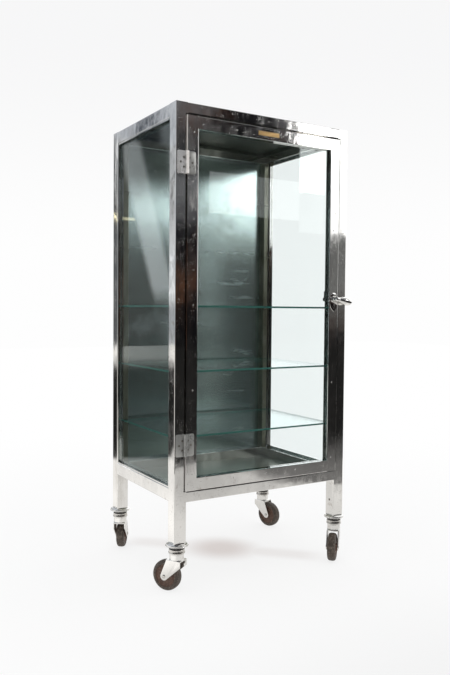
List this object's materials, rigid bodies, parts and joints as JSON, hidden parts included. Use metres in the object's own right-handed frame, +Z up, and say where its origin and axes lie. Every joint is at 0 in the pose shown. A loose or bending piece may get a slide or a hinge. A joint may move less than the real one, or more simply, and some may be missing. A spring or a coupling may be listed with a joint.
{
  "type": "mortuary cabinet",
  "caption": "Tall glazed instrument cabinet of chromed square tube on swivel casters, with glass shelves and a framed glass door with a lever latch.",
  "frame": {"origin": "on the floor, under the middle of the overall bounding box", "axes": "+Z up, -Y towards the front where the door is, +X to the right as seen from the front"},
  "size_m": [0.7466, 0.6154, 1.573],
  "materials": {
    "chromed_tube": "old chrome plate on steel tube, polished, with light pitting and scratches",
    "worn_chrome": "worn chrome plate, dulled and rubbed",
    "sheet_metal": "polished sheet, streaked and hazy",
    "dark_steel": "bare steel, darkened",
    "brass_plate": "old brass, satin",
    "brown_wheel": "hard brown rubber, dusty and scuffed",
    "pane_glass": "clear window glass with a faint green edge",
    "shelf_glass": "thick clear glass with green edges"
  },
  "bodies": {
    "cabinet": {"post_front_left": "chromed_tube", "post_front_right": "chromed_tube", "post_back_left": "chromed_tube", "post_back_right": "chromed_tube", "top_rail_front": "chromed_tube", "top_rail_back": "chromed_tube", "top_rail_left": "chromed_tube", "top_rail_right": "chromed_tube", "bottom_rail_front": "chromed_tube", "bottom_rail_back": "chromed_tube", "bottom_rail_left": "chromed_tube", "bottom_rail_right": "chromed_tube", "roof_panel": "sheet_metal", "floor_panel": "sheet_metal", "back_panel": "sheet_metal", "side_glass_left": "pane_glass", "side_glass_right": "pane_glass", "side_channel_left": "chromed_tube", "side_channel_right": "chromed_tube", "shelf_lower": "shelf_glass", "shelf_middle": "shelf_glass", "shelf_upper": "shelf_glass", "hinge_upper_frame_leaf": "worn_chrome", "hinge_upper_pin": "worn_chrome", "hinge_lower_frame_leaf": "worn_chrome", "hinge_lower_pin": "worn_chrome", "caster_cup_front_left": "chromed_tube", "caster_cup_front_right": "chromed_tube", "caster_cup_back_left": "chromed_tube", "caster_cup_back_right": "chromed_tube", "caster_swivel_head_front_left": "worn_chrome", "caster_swivel_head_front_right": "worn_chrome", "caster_swivel_head_back_left": "worn_chrome", "caster_swivel_head_back_right": "worn_chrome"},
    "door": {"door_stile_hinge_side": "chromed_tube", "door_stile_lock_side": "chromed_tube", "door_rail_top": "chromed_tube", "door_rail_bottom": "chromed_tube", "door_glass": "pane_glass", "door_glazing_bead": "chromed_tube", "nameplate": "brass_plate", "hinge_upper_door_leaf": "worn_chrome", "hinge_lower_door_leaf": "worn_chrome", "lock_plate": "chromed_tube", "lock_case": "dark_steel"},
    "handle": {"lever_handle": "chromed_tube", "latch_spindle": "dark_steel", "latch_tongue": "worn_chrome"},
    "swivel_front_left": {"caster_fork_front_left": "worn_chrome", "caster_axle_front_left": "worn_chrome"},
    "swivel_front_right": {"caster_fork_front_right": "worn_chrome", "caster_axle_front_right": "worn_chrome"},
    "swivel_back_left": {"caster_fork_back_left": "worn_chrome", "caster_axle_back_left": "worn_chrome"},
    "swivel_back_right": {"caster_fork_back_right": "worn_chrome", "caster_axle_back_right": "worn_chrome"},
    "wheel_front_left": {"caster_wheel_front_left": "brown_wheel"},
    "wheel_front_right": {"caster_wheel_front_right": "brown_wheel"},
    "wheel_back_left": {"caster_wheel_back_left": "brown_wheel"},
    "wheel_back_right": {"caster_wheel_back_right": "brown_wheel"}
  },
  "joints": [
    {"name": "door_swing", "type": "hinge", "parent": "cabinet", "child": "door", "pos_m": [-0.30512, -0.26934, 0.93275], "axis": [0, 0, -1], "range_deg": [0, 180]},
    {"name": "handle_turn", "type": "hinge", "parent": "door", "child": "handle", "pos_m": [0.30192, -0.28254, 0.96], "axis": [0, 1, 0], "range_deg": [0, 90]},
    {"name": "swivel_turn_front_left", "type": "hinge", "parent": "cabinet", "child": "swivel_front_left", "pos_m": [-0.32012, -0.24104, 0.115], "axis": [0, 0, 1], "continuous": true},
    {"name": "swivel_turn_front_right", "type": "hinge", "parent": "cabinet", "child": "swivel_front_right", "pos_m": [0.33587, -0.24104, 0.115], "axis": [0, 0, 1], "continuous": true},
    {"name": "swivel_turn_back_left", "type": "hinge", "parent": "cabinet", "child": "swivel_back_left", "pos_m": [-0.32012, 0.23096, 0.115], "axis": [0, 0, 1], "continuous": true},
    {"name": "swivel_turn_back_right", "type": "hinge", "parent": "cabinet", "child": "swivel_back_right", "pos_m": [0.33587, 0.23096, 0.115], "axis": [0, 0, 1], "continuous": true},
    {"name": "wheel_spin_front_left", "type": "hinge", "parent": "swivel_front_left", "child": "wheel_front_left", "pos_m": [-0.33867, -0.21018, 0.05], "axis": [-0.8572, -0.515, 0], "continuous": true},
    {"name": "wheel_spin_front_right", "type": "hinge", "parent": "swivel_front_right", "child": "wheel_front_right", "pos_m": [0.30998, -0.26605, 0.05], "axis": [0.6947, -0.7193, 0], "continuous": true},
    {"name": "wheel_spin_back_left", "type": "hinge", "parent": "swivel_back_left", "child": "wheel_back_left", "pos_m": [-0.30052, 0.26115, 0.05], "axis": [-0.8387, 0.5446, 0], "continuous": true},
    {"name": "wheel_spin_back_right", "type": "hinge", "parent": "swivel_back_right", "child": "wheel_back_right", "pos_m": [0.3464, 0.19653, 0.05], "axis": [0.9563, 0.2924, 0], "continuous": true}
  ]
}
